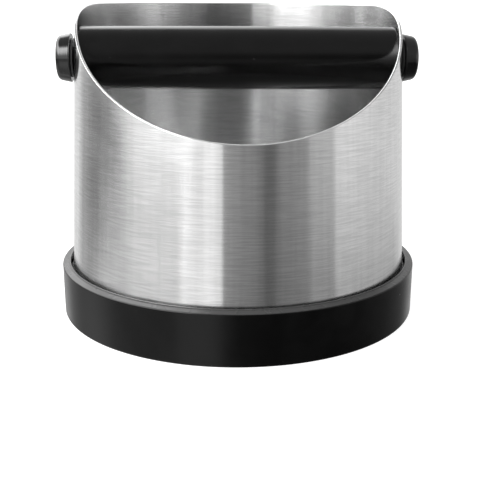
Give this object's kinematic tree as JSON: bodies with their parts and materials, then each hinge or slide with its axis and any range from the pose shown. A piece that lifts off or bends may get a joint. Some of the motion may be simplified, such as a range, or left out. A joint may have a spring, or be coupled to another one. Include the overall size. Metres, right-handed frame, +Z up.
{
  "type": "knock box",
  "caption": "Round steel bin with a scooped front rim, a rubber-sleeved knock bar held by screw knobs and a rubber boot, for knocking out spent espresso grounds.",
  "frame": {"origin": "centre of the boot's underside", "axes": "+Z up, the knock bar along X, the low front of the rim towards -Y"},
  "size_m": [0.132, 0.132, 0.1117],
  "materials": {
    "boot_rubber": "smooth, semi-gloss",
    "brushed_body": "brushed round the wall",
    "pan_steel": "satin",
    "core_steel": "drawn",
    "sleeve_rubber": "smooth, semi-gloss",
    "insert_brass": "turned",
    "bush_nylon": "satin",
    "washer_nylon": "satin",
    "knob_plastic": "gloss with fine turning lines",
    "stud_steel": "zinc plated"
  },
  "bodies": {
    "boot": {"base_boot": "boot_rubber"},
    "bin": {"body_shell": "brushed_body", "floor_pan": "pan_steel", "left_wall_bush": "bush_nylon", "right_wall_bush": "bush_nylon"},
    "bar": {"bar_core": "core_steel", "bar_sleeve": "sleeve_rubber", "left_core_insert": "insert_brass", "right_core_insert": "insert_brass"},
    "left_washer": {"left_washer": "washer_nylon"},
    "left_knob": {"left_knob": "knob_plastic", "left_knob_stud": "stud_steel"},
    "right_washer": {"right_washer": "washer_nylon"},
    "right_knob": {"right_knob": "knob_plastic", "right_knob_stud": "stud_steel"}
  },
  "joints": [
    {"name": "bin_lift", "type": "slide", "parent": "boot", "child": "bin", "axis": [0, 0, 1], "range_m": [0, 0.02]},
    {"name": "bar_spin", "type": "hinge", "parent": "bin", "child": "bar", "pos_m": [0, 0, 0.0925], "axis": [1, 0, 0], "continuous": true},
    {"name": "left_knob_travel", "type": "slide", "parent": "bar", "child": "left_washer", "axis": [-1, 0, 0], "range_m": [0, 0.012]},
    {"name": "left_knob_turn", "type": "hinge", "parent": "left_washer", "child": "left_knob", "pos_m": [-0.0603, 0, 0.0925], "axis": [-1, 0, 0], "range_deg": [0, 4320]},
    {"name": "right_knob_travel", "type": "slide", "parent": "bar", "child": "right_washer", "axis": [1, 0, 0], "range_m": [0, 0.012]},
    {"name": "right_knob_turn", "type": "hinge", "parent": "right_washer", "child": "right_knob", "pos_m": [0.0603, 0, 0.0925], "axis": [1, 0, 0], "range_deg": [0, 4320]}
  ],
  "couplings": [
    {"joint": "left_knob_turn", "follows": "left_knob_travel", "rad_per_m": 6283},
    {"joint": "right_knob_turn", "follows": "right_knob_travel", "rad_per_m": 6283}
  ]
}
